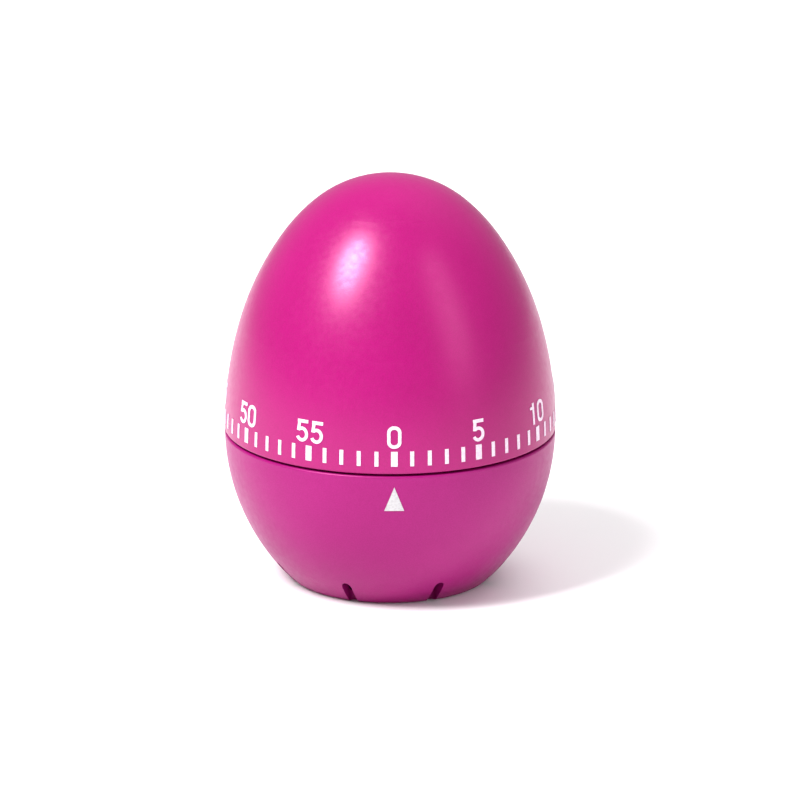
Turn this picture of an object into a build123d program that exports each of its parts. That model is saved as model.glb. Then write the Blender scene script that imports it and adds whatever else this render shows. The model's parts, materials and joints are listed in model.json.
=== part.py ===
from build123d import *
import os
from math import acos, asin, cos, degrees, pi, radians, sin, tan

# Egg shaped clockwork kitchen timer. Origin: centre of the flat foot, +Z up, the pointer faces -Y.
os.makedirs("parts", exist_ok=True)

# ---- outside: arcs tangent to each other, each (radius, tilt of its outward normal at the end) ----
equator_r = 30.0
upper_arcs = [(69.3, 16.5), (53.2, 35.3), (33.5, 49.5)]
lower_arcs = [(38.9, 40.0), (28.0, 47.3), (1.5, 90.0)]
wall = 1.8
seam_gap = 0.4
rim_round = 0.35
spigot_outer_r = 27.7
spigot_inner_r = 26.4
spigot_rise = 3.4
spigot_root = 3.0

# ---- print on the shells ----
ink = 0.08
tick_z = 2.82
tick_height = 2.67
thin_tick = 0.69
thick_tick = 1.17
numeral_z = 6.72
digit_height = 3.95
digit_width = 2.5
digit_pitch = 2.93
stroke = 0.58
pointer_tip_z = 2.35
pointer_height = 4.5
pointer_width = 3.5

# ---- sound slots and foot ----
slot_count = 8
slot_width = 1.8
slot_inner_r = 17.0
slot_outer_r = 22.3
foot_recess = 0.4
foot_recess_r = 10.0

# ---- movement: two plates with every arbor upright between them ----
plate_r = 22.0
plate_thick = 1.0
lower_plate_z = 15.0
upper_plate_z = 27.0
lower_plate_top = lower_plate_z + plate_thick
upper_plate_top = upper_plate_z + plate_thick
running = 0.05
pivot_r = 0.4
arbor_r = 0.6
spindle_r = 1.5
spindle_top = 49.5
spindle_flat = 1.05
post_bottom = 38.0
post_r = 3.6

# ---- gears ----
wheel_teeth = 60
pinion_teeth = 10
drive_module = 0.35
train_module = 0.3
pressure_angle = 25.0
addendum = 0.8
dedendum = 1.05
tooth_thinning = 0.04
wheel_thick = 0.6

# ---- arbor places, as polar coordinates about the spindle ----
drive_spacing = drive_module * (wheel_teeth + pinion_teeth) / 2
train_spacing = train_module * (wheel_teeth + pinion_teeth) / 2
second_angle = 90.0
third_r = 12.4
escape_r = 16.0
escape_tip_r = 4.5
escape_teeth = 15
pallet_spacing = 6.5
alarm_angle = -30.0
alarm_tip_r = 5.0
alarm_teeth = 12
hammer_spacing = 7.0
hammer_r = 17.0

# ---- bell and hammer ----
bell_r = 14.8
bell_thick = 0.8
bell_floor_z = 5.4
bell_rim_z = 13.0
hammer_reach = 9.0
hammer_head_r = 1.6
hammer_swing = 8.0


def polar(radius, angle):
    return Vector(radius * cos(radians(angle)), radius * sin(radians(angle)))


def apex_angle(near, far, opposite):
    # Angle, at the spindle, of a triangle with these three sides
    return degrees(acos((near**2 + far**2 - opposite**2) / (2 * near * far)))


def heading(start, end):
    return (end - start).get_angle(Vector(1, 0)) * (1 if end.Y >= start.Y else -1)


third_angle = second_angle + apex_angle(drive_spacing, third_r, train_spacing)
escape_angle = third_angle + apex_angle(third_r, escape_r, train_spacing)
balance_angle = escape_angle + apex_angle(escape_r, escape_r, pallet_spacing)
hammer_angle = alarm_angle - apex_angle(drive_spacing, hammer_r, hammer_spacing)
spindle = Vector(0, 0)
second = polar(drive_spacing, second_angle)
third = polar(third_r, third_angle)
escape = polar(escape_r, escape_angle)
balance = polar(escape_r, balance_angle)
alarm = polar(drive_spacing, alarm_angle)
hammer = polar(hammer_r, hammer_angle)
pillars = [polar(19.5, 15), polar(20.5, 168), polar(19.5, 285)]
bosses = [polar(19.6, 45), polar(19.6, 135), polar(19.6, 270)]


# ---------------------------------------------------------------- egg outline
def tangent_chain(arcs, up):
    # (centre r, centre z, radius, start, end) of each arc, z counted from the equator
    chain = []
    centre_r = equator_r - arcs[0][0]
    centre_z = 0.0
    start = 0.0
    for index, (radius, end) in enumerate(arcs):
        if index:
            step = arcs[index - 1][0] - radius
            centre_r += step * cos(radians(start))
            centre_z += up * step * sin(radians(start))
        chain.append((centre_r, centre_z, radius, start, end))
        start = end
    return chain


def crown_radius():
    # The crown arc is the one that closes the outline on the axis
    centre_r, _, radius, _, end = tangent_chain(upper_arcs, 1)[-1]
    return radius + centre_r / cos(radians(end))


upper_chain = tangent_chain(upper_arcs + [(crown_radius(), 90.0)], 1)
lower_chain = tangent_chain(lower_arcs, -1)
equator_z = lower_chain[-1][2] - lower_chain[-1][1]
base_rim_z = equator_z - seam_gap
egg_top = equator_z + upper_chain[-1][1] + upper_chain[-1][2]


def upper_section(inset):
    # Half section of the dial half, from the rim plane to the crown, inset all round
    with BuildSketch(Plane.XZ) as section:
        with BuildLine():
            for centre_r, centre_z, radius, start, end in upper_chain:
                CenterArc((centre_r, equator_z + centre_z), radius - inset, start, end - start)
            Polyline((0, egg_top - inset), (0, equator_z), (equator_r - inset, equator_z))
        make_face()
    return section.sketch


def lower_section(inset, floor_z):
    # Half section of the base half, from its rim plane down to floor_z, inset all round
    arcs = [arc for arc in lower_chain if arc[2] > inset]
    with BuildSketch(Plane.XZ) as section:
        with BuildLine():
            for index, (centre_r, centre_z, radius, start, end) in enumerate(arcs):
                size = radius - inset
                if index == 0:
                    start = degrees(asin(seam_gap / size))
                    rim_r = centre_r + size * cos(radians(start))
                if index == len(arcs) - 1:
                    end = degrees(asin((equator_z + centre_z - floor_z) / size))
                    floor_r = centre_r + size * cos(radians(end))
                CenterArc((centre_r, equator_z + centre_z), size, -start, start - end)
            Polyline((floor_r, floor_z), (0, floor_z), (0, base_rim_z), (rim_r, base_rim_z))
        make_face()
    return section.sketch


# ---------------------------------------------------------------- shells
rib_bottom = 52.0
with BuildPart() as dial_cavity:
    revolve(upper_section(wall), axis=Axis.Z)
    with Locations((0, 0, post_bottom)):
        Cylinder(post_r, egg_top, align=(Align.CENTER, Align.CENTER, Align.MIN), mode=Mode.SUBTRACT)
    with PolarLocations(0, 2):
        with Locations((0, 0, rib_bottom)):
            Box(60, 1.2, 40, align=(Align.CENTER, Align.CENTER, Align.MIN), mode=Mode.SUBTRACT)

with BuildPart() as dial_shell:
    revolve(upper_section(0), axis=Axis.Z)
    fillet(dial_shell.edges().group_by(Axis.Z)[0].sort_by(SortBy.RADIUS)[-1], rim_round)
    add(dial_cavity.part, mode=Mode.SUBTRACT)
    # D shaped socket that grips the flat of the spindle
    with BuildSketch(Plane.XY.offset(post_bottom)):
        Circle(spindle_r)
        with Locations((spindle_flat + spindle_r, 0)):
            Rectangle(2 * spindle_r, 4 * spindle_r, mode=Mode.SUBTRACT)
    extrude(amount=spindle_top - post_bottom + 0.5, mode=Mode.SUBTRACT)

boss_r = 2.2
screw_hole_r = 0.9
bell_boss_r = 3.0
bell_boss_top = bell_floor_z - bell_thick / 2 - 0.5
with BuildPart() as base_cavity:
    revolve(lower_section(wall, wall), axis=Axis.Z)
    with BuildSketch(Plane.XZ):
        with Locations((spigot_inner_r, base_rim_z - spigot_root)):
            Rectangle(6, spigot_root + 1, align=(Align.MIN, Align.MIN))
    revolve(axis=Axis.Z, mode=Mode.SUBTRACT)
    with Locations([(place.X, place.Y, 0) for place in bosses]):
        Cylinder(boss_r, lower_plate_z, align=(Align.CENTER, Align.CENTER, Align.MIN), mode=Mode.SUBTRACT)
    Cylinder(bell_boss_r, bell_boss_top, align=(Align.CENTER, Align.CENTER, Align.MIN), mode=Mode.SUBTRACT)

with BuildPart() as base_shell:
    revolve(lower_section(0, 0), axis=Axis.Z)
    fillet(base_shell.edges().group_by(Axis.Z)[-1].sort_by(SortBy.RADIUS)[-1], rim_round)
    add(base_cavity.part, mode=Mode.SUBTRACT)
    # Spigot that stands up inside the dial's rim
    with BuildSketch(Plane.XZ):
        with Locations((spigot_inner_r, base_rim_z - 1)):
            Rectangle(spigot_outer_r - spigot_inner_r, spigot_rise + 1, align=(Align.MIN, Align.MIN))
    revolve(axis=Axis.Z)
    # Sound slots, open through the lower wall and stopping short of the foot's edge
    with BuildSketch(Plane.XY.offset(-1)):
        with PolarLocations((slot_inner_r + slot_outer_r) / 2, slot_count, start_angle=180 / slot_count):
            SlotOverall(slot_outer_r - slot_inner_r, slot_width)
    extrude(amount=lower_plate_z - 4, mode=Mode.SUBTRACT)
    with BuildSketch(Plane.XY):
        Circle(foot_recess_r)
    extrude(amount=foot_recess, mode=Mode.SUBTRACT)
    with Locations([(place.X, place.Y, lower_plate_z) for place in bosses]):
        Hole(screw_hole_r, 7)
    with Locations((0, 0, bell_boss_top)):
        Hole(screw_hole_r, 3)


# ---------------------------------------------------------------- printed marks
with BuildPart() as dial_ink:
    revolve(upper_section(-ink), axis=Axis.Z)
    revolve(upper_section(0), axis=Axis.Z, mode=Mode.SUBTRACT)

with BuildPart() as minute_marks:
    with Locations((0, 0, equator_z + tick_z)):
        with PolarLocations(equator_r, 60):
            Box(4, thin_tick, tick_height)
        with PolarLocations(equator_r, 12):
            Box(4, thick_tick, tick_height)
    add(dial_ink.part, mode=Mode.INTERSECT)


def pen_arc(centre, half_w, half_h, start, sweep):
    with BuildLine() as path:
        EllipticalCenterArc(centre, half_w, half_h, start_angle=start, arc_size=sweep)
    trace(path.line, line_width=stroke)


def pen_line(start, end):
    with BuildLine() as path:
        Line(start, end)
    trace(path.line, line_width=stroke)


def digit(figure):
    # One numeral about its own centre; right and top are where the pen's middle runs
    right = (digit_width - stroke) / 2
    top = (digit_height - stroke) / 2
    with BuildSketch() as glyph:
        if figure == "0":
            hollow_w = digit_width - 2 * stroke
            RectangleRounded(digit_width, digit_height, digit_width * 0.46)
            RectangleRounded(hollow_w, digit_height - 2 * stroke, hollow_w * 0.46, mode=Mode.SUBTRACT)
        elif figure == "1":
            with Locations((right * 0.3, 0)):
                Rectangle(stroke, digit_height)
            with Locations((-right * 0.3, top * 0.66)):
                Rectangle(right * 0.9, stroke * 0.8)
        elif figure == "2":
            pen_arc((0, top * 0.42), right, top * 0.58, -30, 200)
            pen_line((right * 0.93, top * 0.24), (-right * 0.85, -top * 0.95))
            with Locations((0, -top)):
                Rectangle(digit_width, stroke)
        elif figure == "3":
            pen_arc((0, top * 0.5), right * 0.92, top * 0.5, -90, 250)
            pen_arc((0, -top * 0.5), right, top * 0.5, -160, 250)
        elif figure == "4":
            with Locations((right * 0.42, 0)):
                Rectangle(stroke, digit_height)
            with Locations((0, -top * 0.42)):
                Rectangle(digit_width, stroke)
            pen_line((-right * 0.9, -top * 0.42), (right * 0.4, top * 0.9))
        elif figure == "5":
            pen_arc((0, -top * 0.38), right, top * 0.62, -155, 290)
            pen_line((-right * 0.78, -top * 0.02), (-right * 0.56, top))
            with Locations((right * 0.12, top)):
                Rectangle(digit_width * 0.84, stroke)
    return glyph.sketch


def outward_plane(angle, height):
    # Upright plane that faces outwards at this angle, its x to the right of someone facing it
    place = polar(equator_r + 2, angle)
    outward = polar(1, angle)
    sideways = (-outward.Y, outward.X, 0)
    return Plane(origin=(place.X, place.Y, height), x_dir=sideways, z_dir=(outward.X, outward.Y, 0))


front = -90.0
with BuildPart() as minute_numerals:
    for minute in range(0, 60, 5):
        with BuildSketch(outward_plane(front + 6 * minute, equator_z + numeral_z)):
            figures = str(minute)
            for index, figure in enumerate(figures):
                with Locations(((index - (len(figures) - 1) / 2) * digit_pitch, 0)):
                    add(digit(figure))
        extrude(amount=-6)
    add(dial_ink.part, mode=Mode.INTERSECT)

with BuildPart() as pointer_mark:
    with BuildSketch(outward_plane(front, base_rim_z - pointer_tip_z + seam_gap)):
        with BuildLine():
            left_corner = (-pointer_width / 2, -pointer_height)
            Polyline((0, 0), left_corner, (pointer_width / 2, -pointer_height), close=True)
        make_face()
    extrude(amount=-6)
    revolve(lower_section(-ink, 1), axis=Axis.Z, mode=Mode.INTERSECT)
    revolve(lower_section(0, 1), axis=Axis.Z, mode=Mode.SUBTRACT)


# ---------------------------------------------------------------- gears
def involute(angle):
    return tan(angle) - angle


def gear_section(centre, z, teeth, module, first_tooth, bore_r=0.0):
    # Full outline of a gear, one tooth centred on the angle first_tooth
    pitch_r = module * teeth / 2
    base_r = pitch_r * cos(radians(pressure_angle))
    tip_r = pitch_r + addendum * module
    root_r = pitch_r - dedendum * module
    flank_r = max(base_r, root_r)
    tooth_radii = (flank_r, (flank_r + tip_r) / 2, tip_r)
    half_pitch = pi / (2 * teeth) - tooth_thinning / (2 * pitch_r)

    def half_tooth(radius):
        narrowing = involute(radians(pressure_angle)) - involute(acos(min(1, base_r / radius)))
        return degrees(half_pitch + narrowing)

    with BuildSketch(Plane((centre.X, centre.Y, z))) as section:
        with BuildLine():
            for index in range(teeth):
                middle = first_tooth + 360 * index / teeth
                rising = [polar(r, middle - half_tooth(r)) for r in tooth_radii]
                falling = [polar(r, middle + half_tooth(r)) for r in reversed(tooth_radii)]
                foot_rising = polar(root_r, middle - half_tooth(flank_r))
                foot_falling = polar(root_r, middle + half_tooth(flank_r))
                next_foot = polar(root_r, middle + 360 / teeth - half_tooth(flank_r))
                if base_r > root_r:
                    Line(foot_rising, rising[0])
                ThreePointArc(*rising)
                Line(rising[2], falling[0])
                ThreePointArc(*falling)
                if base_r > root_r:
                    Line(falling[2], foot_falling)
                Line(foot_falling, next_foot)
        make_face()
        if bore_r:
            Circle(bore_r, mode=Mode.SUBTRACT)
    return section.sketch


def crossings(centre, z, rim_r, hub_r, count=5):
    # Round windows that lighten a wheel between its hub and its rim
    window_r = (rim_r - hub_r) / 2 - 0.5
    with BuildSketch(Plane((centre.X, centre.Y, z))) as section:
        with PolarLocations((rim_r + hub_r) / 2, count):
            Circle(window_r)
    return section.sketch


def upright(centre, low, high, radius, mode=Mode.ADD):
    # Round bar from one height to another on an arbor's line
    with Locations((centre.X, centre.Y, low)):
        Cylinder(radius, high - low, align=(Align.CENTER, Align.CENTER, Align.MIN), mode=mode)


# ---------------------------------------------------------------- layer heights between the plates
barrel_z = 16.6
barrel_top = 21.5
drive_z = 22.2
second_z = 24.6
third_z = 25.9
escape_z = 20.0
alarm_z = 24.2
cam_z = 29.15
cam_thick = 0.85
gear_lap = 0.4
half_gap = 180 / pinion_teeth

# ---------------------------------------------------------------- spindle group
spindle_bottom = lower_plate_z + 0.1
with BuildPart() as main_spindle:
    upright(spindle, spindle_bottom, lower_plate_top, 1.0)
    upright(spindle, lower_plate_top + 0.1, spindle_top, spindle_r)
    upright(spindle, lower_plate_top, lower_plate_top + 0.2, 1.3)
    with BuildSketch(Plane.XY.offset(post_bottom - 1)):
        with Locations((spindle_flat + spindle_r, 0)):
            Rectangle(2 * spindle_r, 4 * spindle_r)
    extrude(amount=spindle_top, mode=Mode.SUBTRACT)
    chamfer(main_spindle.edges().group_by(Axis.Z)[-1], 0.3)

drive_pitch_r = drive_module * wheel_teeth / 2
with BuildPart() as main_wheel:
    toothed = gear_section(spindle, drive_z, wheel_teeth, drive_module, second_angle, spindle_r)
    extrude(toothed, amount=wheel_thick)
    extrude(crossings(spindle, drive_z, drive_pitch_r - 1, 4.6), amount=wheel_thick, mode=Mode.SUBTRACT)

clutch_z = drive_z + wheel_thick
clutch_height = 0.7
collar_z = clutch_z + clutch_height
with BuildPart() as clutch_spring:
    with BuildSketch(Plane.XZ):
        with BuildLine():
            Line((spindle_r + 0.1, collar_z - 0.11), (4.3, clutch_z + 0.13))
        trace(line_width=0.2)
    revolve(axis=Axis.Z)
    with Locations((0, 0, clutch_z)):
        with PolarLocations(4.0, 3):
            Cylinder(1.5, 2, mode=Mode.SUBTRACT)

with BuildPart() as clutch_collar:
    upright(spindle, collar_z, collar_z + 0.8, 2.6)
    upright(spindle, collar_z, collar_z + 0.8, spindle_r, Mode.SUBTRACT)
    chamfer(clutch_collar.edges().group_by(Axis.Z)[-1].sort_by(SortBy.RADIUS)[-1], 0.2)

cam_r = 5.0
notch_angle = 246.0
lug_angle = -6.0
lug_reach = 6.6
stop_r = 6.0
with BuildPart() as alarm_cam:
    upright(spindle, cam_z, cam_z + cam_thick, cam_r)
    upright(polar(5.6, notch_angle), cam_z, cam_z + cam_thick, 1.6, Mode.SUBTRACT)
    upright(spindle, upper_plate_top + 0.35, cam_z, 2.4)
    # Stop lug, in its own layer under the cam
    with BuildSketch(Plane.XY.offset(upper_plate_top + 0.35).rotated((0, 0, lug_angle))):
        Rectangle(lug_reach, 0.55, align=(Align.MIN, Align.CENTER))
    extrude(amount=0.6)
    upright(spindle, upper_plate_top, cam_z + cam_thick, spindle_r, Mode.SUBTRACT)

# ---------------------------------------------------------------- going train
def geared_arbor(centre, leaf_z, leaf_top, module, first_tooth):
    # Arbor with its pinion cut in one piece, turned down to a pivot at each end
    upright(centre, lower_plate_top, upper_plate_z, arbor_r)
    upright(centre, lower_plate_z + 0.1, upper_plate_top - 0.1, pivot_r)
    extrude(gear_section(centre, leaf_z, pinion_teeth, module, first_tooth), amount=leaf_top - leaf_z)


def crossed_wheel(centre, z, first_tooth):
    # Wheel of the going train, pressed on its arbor
    pitch_r = train_module * wheel_teeth / 2
    extrude(gear_section(centre, z, wheel_teeth, train_module, first_tooth, arbor_r), amount=wheel_thick)
    extrude(crossings(centre, z, pitch_r - 1, 2.4), amount=wheel_thick, mode=Mode.SUBTRACT)


with BuildPart() as second_pinion:
    first_leaf = second_angle + 180 + half_gap
    geared_arbor(second, drive_z - gear_lap, second_z - 0.01, drive_module, first_leaf)

with BuildPart() as second_wheel:
    crossed_wheel(second, second_z, heading(second, third))

with BuildPart() as third_pinion:
    geared_arbor(third, second_z - 0.3, third_z - 0.01, train_module, heading(third, second) + half_gap)

with BuildPart() as third_wheel:
    crossed_wheel(third, third_z, heading(third, escape))

with BuildPart() as escape_pinion:
    geared_arbor(escape, third_z - 0.3, third_z + 0.9, train_module, heading(escape, third) + half_gap)


def pointed_wheel(centre, z, thick, teeth, tip_r, root_r, tip_half, root_half, first_gap, bore_r):
    # Wheel with slim pointed teeth; a gap is centred on the angle first_gap
    with BuildSketch(Plane((centre.X, centre.Y, z))) as outline:
        with BuildLine():
            corners = []
            for index in range(teeth):
                middle = first_gap + 360 * (index + 0.5) / teeth
                corners.append(polar(root_r, middle - root_half))
                corners.append(polar(tip_r, middle - tip_half))
                corners.append(polar(tip_r, middle + tip_half))
                corners.append(polar(root_r, middle + root_half))
            Polyline(*corners, close=True)
        make_face()
        Circle(bore_r, mode=Mode.SUBTRACT)
        with PolarLocations(root_r * 0.62, 5):
            Circle(root_r * 0.2, mode=Mode.SUBTRACT)
    extrude(outline.sketch, amount=thick)


with BuildPart() as escape_wheel:
    pointed_wheel(escape, escape_z, wheel_thick, escape_teeth, escape_tip_r, 3.3, 1.0, 4.6,
                  heading(escape, balance), arbor_r)
    upright(escape, escape_z - 0.8, escape_z, 1.3)
    upright(escape, escape_z - 0.8, escape_z, arbor_r, Mode.SUBTRACT)


# ---------------------------------------------------------------- pallets, balance and hammer anchor
def pin_places(wheel_centre, fork_centre, distance, spread):
    # The two pallet pins, each side of the line from the wheel to the fork
    middle = heading(wheel_centre, fork_centre)
    return [wheel_centre + polar(distance, middle + side * spread) for side in (-1, 1)]


def fork_plate(fork_centre, pins, z, thick):
    # V shaped plate that carries two pins, pressed on its arbor
    with BuildSketch(Plane.XY.offset(z)) as outline:
        for pin in pins:
            with BuildLine():
                Line((fork_centre.X, fork_centre.Y), (pin.X, pin.Y))
            trace(line_width=0.9)
            with Locations((pin.X, pin.Y)):
                Circle(0.6)
        with Locations((fork_centre.X, fork_centre.Y)):
            Circle(1.4)
            Circle(arbor_r, mode=Mode.SUBTRACT)
    extrude(outline.sketch, amount=thick)


escape_pin_r = 0.2
escape_pins = pin_places(escape, balance, escape_tip_r + escape_pin_r + 0.15, 30.0)
fork_z = escape_z + wheel_thick + 0.3
with BuildPart() as pallet_fork:
    fork_plate(balance, escape_pins, fork_z, 0.7)

with BuildPart() as pallet_pins:
    for pin in escape_pins:
        upright(pin, escape_z - 0.2, fork_z, escape_pin_r)

bar_z = upper_plate_top + 0.8
with BuildPart() as balance_arbor:
    upright(balance, lower_plate_z + 0.1, bar_z + 1.2, arbor_r)

with BuildPart() as balance_bar:
    with BuildSketch(Plane((balance.X, balance.Y, bar_z)).rotated((0, 0, balance_angle + 90))):
        SlotOverall(14, 1.6)
        with Locations((-6, 0), (6, 0)):
            Circle(1.6)
        Circle(1.5)
        Circle(arbor_r, mode=Mode.SUBTRACT)
    extrude(amount=0.8)

# ---------------------------------------------------------------- alarm train
drum_r = 9.6
drum_wall = 0.5
with BuildPart() as spring_barrel:
    extrude(gear_section(spindle, barrel_z, wheel_teeth, drive_module, alarm_angle), amount=0.8)
    upright(spindle, barrel_z, barrel_top - 0.5, drum_r)
    upright(spindle, barrel_z + 0.8, barrel_top, drum_r - drum_wall, Mode.SUBTRACT)
    upright(spindle, barrel_z, barrel_top, spindle_r + running, Mode.SUBTRACT)

with BuildPart() as barrel_cover:
    upright(spindle, barrel_top - 0.5, barrel_top, drum_r)
    upright(spindle, barrel_top - 0.5, barrel_top, spindle_r + running, Mode.SUBTRACT)

spring_turns = 6
spring_inner_r = 2.4
spring_outer_r = drum_r - drum_wall - 0.2
with BuildPart() as mainspring:
    with BuildSketch(Plane.XY.offset(barrel_z + 1.0)):
        with BuildLine():
            growth = (spring_outer_r - spring_inner_r) / (2 * spring_turns)
            radius = spring_inner_r
            side = 1
            middle_x = 0.0
            for half_turn in range(2 * spring_turns):
                CenterArc((middle_x, 0), radius, 0 if side > 0 else 180, 180)
                middle_x += side * growth
                radius += growth
                side = -side
        trace(line_width=0.25)
    extrude(amount=3.1)

with BuildPart() as alarm_pinion:
    geared_arbor(alarm, barrel_z - 0.3, barrel_z + 1.1, drive_module, alarm_angle + 180 + half_gap)

with BuildPart() as alarm_wheel:
    first_tooth = heading(alarm, hammer)
    pointed_wheel(alarm, alarm_z, 0.8, alarm_teeth, alarm_tip_r, 3.6, 1.5, 7.0, first_tooth, arbor_r)
    upright(alarm, alarm_z - 0.9, alarm_z, 1.4)
    upright(alarm, alarm_z - 0.9, alarm_z, arbor_r, Mode.SUBTRACT)

anchor_pin_r = 0.25
anchor_pins = pin_places(alarm, hammer, alarm_tip_r + anchor_pin_r + 0.08, 37.5)
anchor_z = alarm_z + 1.1
with BuildPart() as hammer_anchor:
    fork_plate(hammer, anchor_pins, anchor_z, 0.7)

with BuildPart() as anchor_pin_pair:
    for pin in anchor_pins:
        upright(pin, alarm_z - 0.2, anchor_z, anchor_pin_r)

arm_z = bell_rim_z - 0.4
stop_arm_z = upper_plate_top + 0.8
with BuildPart() as hammer_arbor:
    upright(hammer, arm_z - 0.3, stop_arm_z + 0.9, arbor_r)

# The head meets the bell's rim at the end of its swing, so it rests that swing away from it
strike_distance = bell_r + bell_thick / 2 + hammer_head_r + 0.06
strike_cosine = (hammer_r**2 + hammer_reach**2 - strike_distance**2) / (2 * hammer_r * hammer_reach)
strike_angle = degrees(acos(strike_cosine))
head_place = hammer + polar(hammer_reach, hammer_angle + 180 - strike_angle - hammer_swing)
with BuildPart() as hammer_arm:
    with BuildSketch(Plane.XY.offset(arm_z)):
        with BuildLine():
            Line((hammer.X, hammer.Y), (head_place.X, head_place.Y))
        trace(line_width=0.7)
        with Locations((hammer.X, hammer.Y)):
            Circle(1.3)
            Circle(arbor_r, mode=Mode.SUBTRACT)
        with Locations((head_place.X, head_place.Y)):
            Circle(hammer_head_r, mode=Mode.SUBTRACT)
    extrude(amount=0.7)

with BuildPart() as hammer_head:
    upright(head_place, arm_z - 1.4, arm_z + 1.4, hammer_head_r)
    fillet(hammer_head.edges().filter_by(GeomType.CIRCLE), 0.4)

with BuildPart() as hammer_stop_arm:
    with BuildSketch(Plane((hammer.X, hammer.Y, stop_arm_z))):
        Circle(1.3)
        Rectangle(4.5, 0.9, align=(Align.MAX, Align.CENTER))
        Circle(arbor_r, mode=Mode.SUBTRACT)
    extrude(amount=0.8)

# ---------------------------------------------------------------- release lever
lever_pivot = Vector(1.5, -12.5)
lever_z = cam_z + 0.05
lever_thick = 0.7
nose_r = 0.5
nose = polar(cam_r + nose_r + 0.05, 240)
tail = Vector(6.6, -15.1)
stud_r = 0.8
with BuildPart() as release_lever:
    with BuildSketch(Plane.XY.offset(lever_z)):
        with BuildLine():
            Polyline((nose.X, nose.Y), (lever_pivot.X, lever_pivot.Y), (tail.X, tail.Y))
        trace(line_width=2 * nose_r)
        with Locations((nose.X, nose.Y), (tail.X, tail.Y)):
            Circle(nose_r)
        with Locations((lever_pivot.X, lever_pivot.Y)):
            Circle(1.8)
            Circle(stud_r + running, mode=Mode.SUBTRACT)
    extrude(amount=lever_thick)

with BuildPart() as lever_stud:
    upright(lever_pivot, upper_plate_top, lever_z - 0.05, 1.3)
    upright(lever_pivot, upper_plate_z, lever_z + lever_thick + 0.6, stud_r)

with BuildPart() as lever_clip:
    upright(lever_pivot, lever_z + lever_thick + 0.05, lever_z + lever_thick + 0.35, 1.5)
    upright(lever_pivot, lever_z, lever_z + 2, stud_r, Mode.SUBTRACT)

spring_stud_place = Vector(-6.5, -13.5)
spring_touch = Vector(-1.75, -8.6)
with BuildPart() as lever_spring_stud:
    upright(spring_stud_place, upper_plate_z, lever_z + lever_thick + 0.2, 0.7)

with BuildPart() as lever_spring:
    with BuildSketch(Plane.XY.offset(lever_z + 0.1)):
        with BuildLine():
            Line((spring_stud_place.X, spring_stud_place.Y), (spring_touch.X, spring_touch.Y))
        trace(line_width=0.25)
        with Locations((spring_stud_place.X, spring_stud_place.Y)):
            Circle(1.1)
            Circle(0.7, mode=Mode.SUBTRACT)
    extrude(amount=lever_thick - 0.2)

stop_pin_place = polar(stop_r, 0)
with BuildPart() as stop_pin:
    upright(stop_pin_place, upper_plate_z, upper_plate_top + 0.95, 0.3)

# ---------------------------------------------------------------- plates, pillars and bush
bush_r = 2.6
with BuildPart() as lower_plate:
    with BuildSketch(Plane.XY.offset(lower_plate_z)):
        Circle(plate_r)
        Circle(1.0 + running, mode=Mode.SUBTRACT)
        with Locations(*[(arbor.X, arbor.Y) for arbor in (second, third, escape, alarm)]):
            Circle(pivot_r + running, mode=Mode.SUBTRACT)
        with Locations((balance.X, balance.Y), (hammer.X, hammer.Y)):
            Circle(arbor_r + running, mode=Mode.SUBTRACT)
        with Locations(*[(place.X, place.Y) for place in bosses + pillars]):
            Circle(screw_hole_r, mode=Mode.SUBTRACT)
    extrude(amount=plate_thick)

with BuildPart() as upper_plate:
    with BuildSketch(Plane.XY.offset(upper_plate_z)):
        Circle(plate_r)
        Circle(bush_r, mode=Mode.SUBTRACT)
        with Locations(*[(arbor.X, arbor.Y) for arbor in (second, third, escape, alarm)]):
            Circle(pivot_r + running, mode=Mode.SUBTRACT)
        with Locations((balance.X, balance.Y), (hammer.X, hammer.Y)):
            Circle(arbor_r + running, mode=Mode.SUBTRACT)
        with Locations((lever_pivot.X, lever_pivot.Y)):
            Circle(stud_r, mode=Mode.SUBTRACT)
        with Locations((spring_stud_place.X, spring_stud_place.Y)):
            Circle(0.7, mode=Mode.SUBTRACT)
        with Locations((stop_pin_place.X, stop_pin_place.Y)):
            Circle(0.3, mode=Mode.SUBTRACT)
        with Locations(*[(place.X, place.Y) for place in pillars]):
            Circle(screw_hole_r, mode=Mode.SUBTRACT)
    extrude(amount=plate_thick)

with BuildPart() as spindle_bush:
    upright(spindle, upper_plate_z, upper_plate_top, bush_r)
    upright(spindle, upper_plate_top, upper_plate_top + 0.25, bush_r + 0.6)
    upright(spindle, upper_plate_z - 1, upper_plate_top + 1, spindle_r + running, Mode.SUBTRACT)

pillar_r = 1.25
with BuildPart() as plate_pillars:
    for place in pillars:
        upright(place, lower_plate_top, upper_plate_z, pillar_r)
        upright(place, lower_plate_z, lower_plate_top, screw_hole_r)
        upright(place, upper_plate_z - 4, upper_plate_z, 0.6, Mode.SUBTRACT)


def slotted_screws(places, seat_z, head_r, head_height, shank_r, shank_length):
    # Cheese head screws, each with a driver slot
    for place in places:
        upright(place, seat_z, seat_z + head_height, head_r)
        upright(place, seat_z - shank_length, seat_z, shank_r)
        with Locations((place.X, place.Y, seat_z + head_height)):
            Box(2 * head_r, 0.45, head_height, mode=Mode.SUBTRACT)


with BuildPart() as pillar_screws:
    slotted_screws(pillars, upper_plate_top, 1.7, 1.0, 0.6, 4.5)

with BuildPart() as movement_screws:
    slotted_screws(bosses, lower_plate_top, 1.8, 1.2, screw_hole_r - 0.02, 7)

# ---------------------------------------------------------------- bell
with BuildPart() as bell:
    with BuildSketch(Plane.XZ):
        with BuildLine():
            floor_line = Line((screw_hole_r + 0.05, bell_floor_z), (6.5, bell_floor_z))
            TangentArc(floor_line @ 1, (bell_r, bell_rim_z), tangent=floor_line % 1)
        trace(line_width=bell_thick)
    revolve(axis=Axis.Z)

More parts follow.
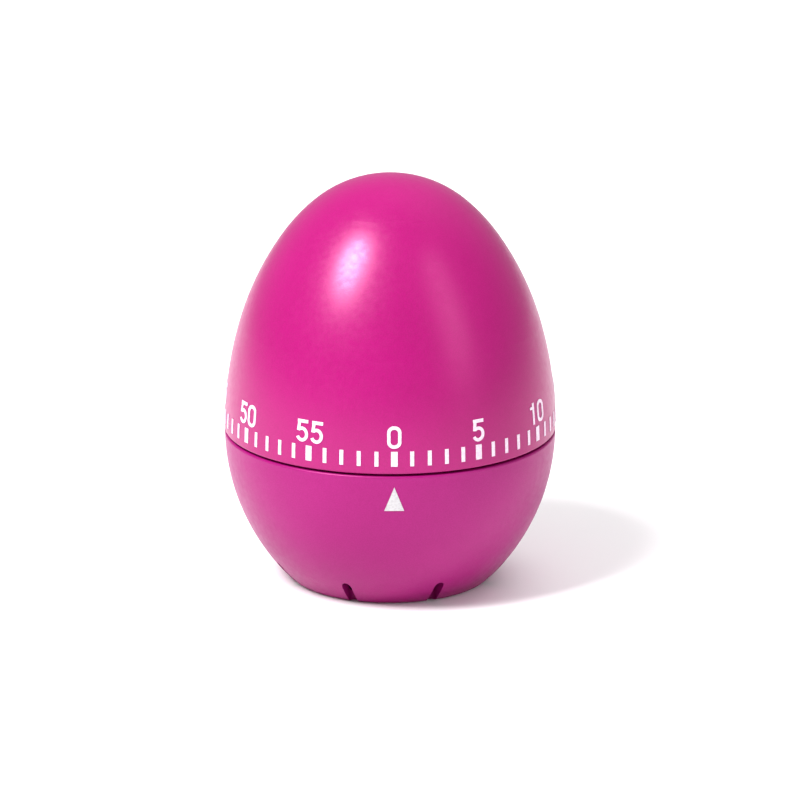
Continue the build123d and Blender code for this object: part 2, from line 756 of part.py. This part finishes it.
with BuildPart() as bell_washer:
    upright(spindle, bell_boss_top, bell_floor_z - bell_thick / 2, 2.6)
    upright(spindle, bell_boss_top, bell_floor_z, screw_hole_r, Mode.SUBTRACT)

with BuildPart() as bell_screw:
    slotted_screws([spindle], bell_floor_z + bell_thick / 2, 2.2, 1.3, screw_hole_r - 0.02, 3.4)

# ---------------------------------------------------------------- export
pieces = {
    "base_shell": base_shell, "pointer_mark": pointer_mark, "bell": bell, "bell_washer": bell_washer,
    "bell_screw": bell_screw, "lower_plate": lower_plate, "upper_plate": upper_plate,
    "plate_pillars": plate_pillars, "pillar_screws": pillar_screws, "movement_screws": movement_screws,
    "spindle_bush": spindle_bush, "stop_pin": stop_pin, "lever_stud": lever_stud, "lever_clip": lever_clip,
    "lever_spring_stud": lever_spring_stud, "lever_spring": lever_spring,
    "dial_shell": dial_shell, "minute_marks": minute_marks, "minute_numerals": minute_numerals,
    "main_spindle": main_spindle, "main_wheel": main_wheel, "clutch_spring": clutch_spring,
    "clutch_collar": clutch_collar, "alarm_cam": alarm_cam,
    "second_pinion": second_pinion, "second_wheel": second_wheel,
    "third_pinion": third_pinion, "third_wheel": third_wheel,
    "escape_pinion": escape_pinion, "escape_wheel": escape_wheel,
    "balance_arbor": balance_arbor, "balance_bar": balance_bar, "pallet_fork": pallet_fork,
    "pallet_pins": pallet_pins, "spring_barrel": spring_barrel, "barrel_cover": barrel_cover,
    "mainspring": mainspring, "alarm_pinion": alarm_pinion, "alarm_wheel": alarm_wheel,
    "hammer_arbor": hammer_arbor, "hammer_anchor": hammer_anchor, "anchor_pin_pair": anchor_pin_pair,
    "hammer_arm": hammer_arm, "hammer_head": hammer_head, "hammer_stop_arm": hammer_stop_arm,
    "release_lever": release_lever,
}
for label, piece in pieces.items():
    piece.part.label = label
    export_step(piece.part, f"parts/{label}.step")

places = {"second": second, "third": third, "escape": escape, "balance": balance, "alarm": alarm,
          "hammer": hammer, "release lever": lever_pivot}
for label, place in places.items():
    print(f"{label} pivot at {place.X:.4f}, {place.Y:.4f}")
print(f"equator {equator_z:.3f}, top {egg_top:.3f}")
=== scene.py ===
import json
import math
import bpy
import bmesh
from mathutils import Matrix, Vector

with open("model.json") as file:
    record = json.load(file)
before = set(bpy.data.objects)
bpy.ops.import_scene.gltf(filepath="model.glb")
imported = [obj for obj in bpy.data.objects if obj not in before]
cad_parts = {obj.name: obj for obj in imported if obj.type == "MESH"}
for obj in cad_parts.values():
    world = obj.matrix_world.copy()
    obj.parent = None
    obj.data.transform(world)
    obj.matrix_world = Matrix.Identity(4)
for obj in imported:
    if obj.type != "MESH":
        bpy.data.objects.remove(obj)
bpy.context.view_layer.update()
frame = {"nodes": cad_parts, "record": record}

nodes = frame["nodes"]
print("stage: frame loaded,", len(nodes), "pieces")


# Node tree helpers

def startMaterial(name, settings):
    material = bpy.data.materials.new(name)
    material.use_nodes = True
    tree = material.node_tree
    tree.nodes.clear()
    output = tree.nodes.new("ShaderNodeOutputMaterial")
    shader = tree.nodes.new("ShaderNodeBsdfPrincipled")
    tree.links.new(shader.outputs["BSDF"], output.inputs["Surface"])
    for socket, value in settings.get("shader", {}).items():
        shader.inputs[socket].default_value = value
    place = tree.nodes.new("ShaderNodeTexCoord")
    return material, tree, shader, place.outputs["Object"]


def grain(tree, place, scale, detail=2.0, rough=0.5, stretch=None):
    # noise over the piece's own place, scale in cycles per metre
    if stretch:
        mapping = tree.nodes.new("ShaderNodeMapping")
        mapping.inputs["Scale"].default_value = stretch
        tree.links.new(place, mapping.inputs["Vector"])
        place = mapping.outputs["Vector"]
    noise = tree.nodes.new("ShaderNodeTexNoise")
    noise.inputs["Scale"].default_value = scale
    noise.inputs["Detail"].default_value = detail
    noise.inputs["Roughness"].default_value = rough
    tree.links.new(place, noise.inputs["Vector"])
    return noise.outputs["Fac"]


def spread(tree, value, low, high, toLow, toHigh):
    # stretches one range of a value over another
    node = tree.nodes.new("ShaderNodeMapRange")
    node.inputs["From Min"].default_value = low
    node.inputs["From Max"].default_value = high
    node.inputs["To Min"].default_value = toLow
    node.inputs["To Max"].default_value = toHigh
    tree.links.new(value, node.inputs["Value"])
    return node.outputs["Result"]


def blendColours(tree, factor, first, second):
    node = tree.nodes.new("ShaderNodeMix")
    node.data_type = "RGBA"
    for socket, colour in (("A", first), ("B", second)):
        target = [s for s in node.inputs if s.name == socket and s.type == "RGBA"][0]
        if isinstance(colour, tuple):
            target.default_value = (*colour, 1)
        else:
            tree.links.new(colour, target)
    tree.links.new(factor, node.inputs["Factor"])
    return [s for s in node.outputs if s.type == "RGBA"][0]


def bump(tree, shader, layers):
    # each layer is (height, strength, distance in metres), stacked one on the other
    normal = None
    for height, strength, distance in layers:
        node = tree.nodes.new("ShaderNodeBump")
        node.inputs["Strength"].default_value = strength
        node.inputs["Distance"].default_value = distance
        tree.links.new(height, node.inputs["Height"])
        if normal:
            tree.links.new(normal, node.inputs["Normal"])
        normal = node.outputs["Normal"]
    tree.links.new(normal, shader.inputs["Normal"])


fineDepth = 0.00003  # height of the fine surface texture, metres
brushDepth = 0.00002  # height of brushed and turned metal grain, metres

# Shell lacquer: deep colour with a fine flake, satin on top

dialLacquer = {
    "name": "dialLacquer",
    "deep": (0.305, 0.0, 0.112),
    "bright": (0.380, 0.0, 0.148),
    "roughness": (0.29, 0.36),
    "flakeScale": 5200,
    "cloudScale": 45,
    "peelScale": 900,
    "shader": {"Metallic": 0.12, "Specular IOR Level": 0.40},
}
baseLacquer = dict(dialLacquer, name="baseLacquer",
                   deep=(0.275, 0.0, 0.120), bright=(0.345, 0.003, 0.160),
                   roughness=(0.36, 0.44), shader={"Metallic": 0.12, "Specular IOR Level": 0.30})


def makeLacquer(look):
    material, tree, shader, place = startMaterial(look["name"], look)
    flake = grain(tree, place, look["flakeScale"], detail=1.0)
    cloud = grain(tree, place, look["cloudScale"], detail=3.0)
    peel = grain(tree, place, look["peelScale"], detail=2.0)
    tone = tree.nodes.new("ShaderNodeMath")
    tone.operation = "ADD"
    tree.links.new(spread(tree, flake, 0.35, 0.65, 0, 0.6), tone.inputs[0])
    tree.links.new(spread(tree, cloud, 0.3, 0.7, 0, 0.4), tone.inputs[1])
    colour = blendColours(tree, tone.outputs["Value"], look["deep"], look["bright"])
    tree.links.new(colour, shader.inputs["Base Color"])
    low, high = look["roughness"]
    tree.links.new(spread(tree, peel, 0.3, 0.7, low, high), shader.inputs["Roughness"])
    bump(tree, shader, [(flake, 0.12, fineDepth), (peel, 0.08, fineDepth)])
    return material


# Printed ink

inkLook = {"name": "dialInk", "coverScale": 2600, "thin": (0.70, 0.50, 0.65), "full": (0.78, 0.68, 0.77),
           "shader": {"Roughness": 0.45, "Specular IOR Level": 0.4}}
# The pointer is printed in the same white ink; its colours here are painted grey, painted shade for its
# face that tilts down away from the light.
pointerShadedInkLook = dict(inkLook, name="pointerInkPaintedShade", thin=(0.46, 0.44, 0.46), full=(0.56, 0.55, 0.56))


def makeInk(look):
    material, tree, shader, place = startMaterial(look["name"], look)
    cover = grain(tree, place, look["coverScale"], detail=3.0)
    colour = blendColours(tree, spread(tree, cover, 0.35, 0.6, 0, 1), look["thin"], look["full"])
    tree.links.new(colour, shader.inputs["Base Color"])
    tree.links.new(spread(tree, cover, 0.3, 0.7, 0.4, 0.6), shader.inputs["Roughness"])
    bump(tree, shader, [(cover, 0.3, fineDepth)])
    return material


# Movement metals: brushed or turned grain, light tarnish and handling marks

metalLooks = {
    "plate_brass": {"colour": (0.62, 0.43, 0.16), "stain": (0.45, 0.28, 0.10),
                   "rough": (0.25, 0.42), "stretch": (1, 14, 1)},
    "pillar_brass": {"colour": (0.66, 0.47, 0.19), "stain": (0.50, 0.32, 0.12),
                   "rough": (0.18, 0.34), "stretch": (1, 1, 12)},
    "wheel_brass": {"colour": (0.68, 0.49, 0.20), "stain": (0.48, 0.31, 0.12),
                   "rough": (0.22, 0.38), "stretch": (10, 1, 1)},
    "bush_brass": {"colour": (0.60, 0.41, 0.15), "stain": (0.42, 0.27, 0.10),
                   "rough": (0.2, 0.36), "stretch": (1, 1, 12)},
    "hammer_brass": {"colour": (0.60, 0.41, 0.15), "stain": (0.42, 0.27, 0.10),
                   "rough": (0.2, 0.36), "stretch": (1, 1, 12)},
    "bell_steel": {"colour": (0.62, 0.61, 0.58), "stain": (0.45, 0.43, 0.40),
                   "rough": (0.14, 0.3), "stretch": (1, 1, 9)},
    "screw_steel": {"colour": (0.55, 0.56, 0.58), "stain": (0.40, 0.39, 0.36),
                   "rough": (0.25, 0.42), "stretch": (1, 9, 1)},
    "arbor_steel": {"colour": (0.58, 0.58, 0.60), "stain": (0.42, 0.41, 0.40),
                   "rough": (0.15, 0.3), "stretch": (1, 1, 14)},
    "lever_steel": {"colour": (0.50, 0.50, 0.52), "stain": (0.36, 0.34, 0.32),
                   "rough": (0.28, 0.44), "stretch": (8, 1, 1)},
    "spring_steel": {"colour": (0.34, 0.35, 0.39), "stain": (0.24, 0.22, 0.22),
                   "rough": (0.25, 0.4), "stretch": (1, 1, 9)},
    "mainspring_steel": {"colour": (0.14, 0.17, 0.27), "stain": (0.20, 0.14, 0.10),
                   "rough": (0.22, 0.38), "stretch": (1, 1, 9)},
    "balance_steel": {"colour": (0.56, 0.56, 0.58), "stain": (0.40, 0.39, 0.38),
                   "rough": (0.2, 0.34), "stretch": (1, 9, 1)},
    "barrel_steel": {"colour": (0.58, 0.58, 0.57), "stain": (0.42, 0.40, 0.37),
                   "rough": (0.2, 0.36), "stretch": (1, 1, 10)},
}


metalGrain = {"strokeScale": 900, "tarnishScale": 160}


def makeMetal(name, look):
    material, tree, shader, place = startMaterial(name, {"shader": {"Metallic": 1.0}})
    strokes = grain(tree, place, metalGrain["strokeScale"], detail=3.0, stretch=look["stretch"])
    tarnish = grain(tree, place, metalGrain["tarnishScale"], detail=4.0, rough=0.6)
    colour = blendColours(tree, spread(tree, tarnish, 0.45, 0.75, 0, 0.8), look["colour"], look["stain"])
    tree.links.new(colour, shader.inputs["Base Color"])
    low, high = look["rough"]
    tree.links.new(spread(tree, strokes, 0.3, 0.7, low, high), shader.inputs["Roughness"])
    bump(tree, shader, [(strokes, 0.15, brushDepth)])
    return material


# Moulded and pressed plastics

mouldedLooks = {
    "cam_plastic": {"colour": (0.80, 0.78, 0.70), "shade": (0.70, 0.67, 0.58),
                    "rough": (0.35, 0.5), "scale": 1400},
    "fibre": {"colour": (0.30, 0.07, 0.045), "shade": (0.20, 0.045, 0.03),
              "rough": (0.55, 0.75), "scale": 2600},
}


def makeMoulded(name, look):
    material, tree, shader, place = startMaterial(name, {"shader": {"Specular IOR Level": 0.45}})
    speckle = grain(tree, place, look["scale"], detail=3.0)
    colour = blendColours(tree, spread(tree, speckle, 0.35, 0.65, 0, 1), look["shade"], look["colour"])
    tree.links.new(colour, shader.inputs["Base Color"])
    low, high = look["rough"]
    tree.links.new(spread(tree, speckle, 0.3, 0.7, low, high), shader.inputs["Roughness"])
    bump(tree, shader, [(speckle, 0.2, fineDepth)])
    return material


finishes = {
    "dial_paint": makeLacquer(dialLacquer),
    "base_paint": makeLacquer(baseLacquer),
    "dial_ink": makeInk(inkLook),
    "pointer_ink": makeInk(pointerShadedInkLook),
}
finishes.update({slot: makeMetal(slot, look) for slot, look in metalLooks.items()})
finishes.update({slot: makeMoulded(slot, look) for slot, look in mouldedLooks.items()})

slotOf = {part["node"]: part["material_slot"] for part in frame["record"]["subparts"]}
for name, piece in nodes.items():
    for index in range(len(piece.material_slots)):
        piece.material_slots[index].material = finishes[slotOf[name]]
print("stage: finishes on", len(nodes), "pieces")


# Floor

floorLook = {"size": 4.0, "grainScale": 30, "colour": (0.92, 0.92, 0.92), "shade": (0.90, 0.90, 0.90),
             "shader": {"Roughness": 0.7}}


def makeFloor(look):
    mesh = bpy.data.meshes.new("floor")
    shape = bmesh.new()
    bmesh.ops.create_grid(shape, x_segments=1, y_segments=1, size=look["size"])
    shape.to_mesh(mesh)
    shape.free()
    floor = bpy.data.objects.new("floor", mesh)
    bpy.context.scene.collection.objects.link(floor)
    material, tree, shader, place = startMaterial("paleFloor", look)
    soft = grain(tree, place, look["grainScale"], detail=3.0)
    tree.links.new(blendColours(tree, soft, look["colour"], look["shade"]), shader.inputs["Base Color"])
    mesh.materials.append(material)


makeFloor(floorLook)

# Lights: a white room, a soft key light on the left, a weaker one on the right
# and one overhead that lifts the shadow on the floor

seam = Vector((0, 0, 0.0278))
lights = {
    "leftSoftbox": {"from": (-0.50, -0.37, 0.84), "size": (0.24, 0.40),
                    "power": 17.0, "colour": (1, 0.99, 1), "inGloss": True},
    "rightSoftbox": {"from": (0.76, -0.58, 0.62), "size": (0.36, 0.95),
                     "power": 2.6, "colour": (0.97, 0.97, 1), "inGloss": True},
    "topSoftbox": {"from": (0.35, 0.50, 0.95), "size": (1.0, 1.0),
                   "power": 8.0, "colour": (1, 1, 1), "inGloss": False},
}


def makeLight(name, look):
    lamp = bpy.data.lights.new(name, "AREA")
    lamp.shape = "RECTANGLE"
    lamp.size, lamp.size_y = look["size"]
    lamp.energy = look["power"]
    lamp.color = look["colour"]
    holder = bpy.data.objects.new(name, lamp)
    holder.location = Vector(look["from"])
    holder.visible_glossy = look["inGloss"]
    holder.rotation_euler = (seam - holder.location).to_track_quat("-Z", "Y").to_euler()
    bpy.context.scene.collection.objects.link(holder)


for lightName, lightLook in lights.items():
    makeLight(lightName, lightLook)

roomLook = {"colour": (1, 1, 1, 1), "strength": 0.46}
world = bpy.data.worlds.new("whiteRoom")
world.use_nodes = True
world.node_tree.nodes["Background"].inputs["Color"].default_value = roomLook["colour"]
world.node_tree.nodes["Background"].inputs["Strength"].default_value = roomLook["strength"]
bpy.context.scene.world = world
bpy.context.scene.view_settings.view_transform = "Standard"
print("stage: floor and lights")

# Camera

cameraLook = {"distance": 0.850, "elevation": 16.87, "turn": -1.4, "lens": 210.8,
              "sensor": 36, "nearest": 0.05, "shift": (0.0123, 0.0326)}


def makeCamera(look):
    lens = bpy.data.cameras.new("camera")
    lens.lens = look["lens"]
    lens.sensor_width = look["sensor"]
    lens.shift_x, lens.shift_y = look["shift"]
    lens.clip_start = look["nearest"]
    camera = bpy.data.objects.new("camera", lens)
    rise = math.radians(look["elevation"])
    turn = math.radians(look["turn"])
    away = Vector((math.sin(turn) * math.cos(rise), -math.cos(turn) * math.cos(rise), math.sin(rise)))
    camera.location = seam + away * look["distance"]
    camera.rotation_euler = (-away).to_track_quat("-Z", "Y").to_euler()
    bpy.context.scene.collection.objects.link(camera)
    bpy.context.scene.camera = camera


makeCamera(cameraLook)

print("stage: camera")
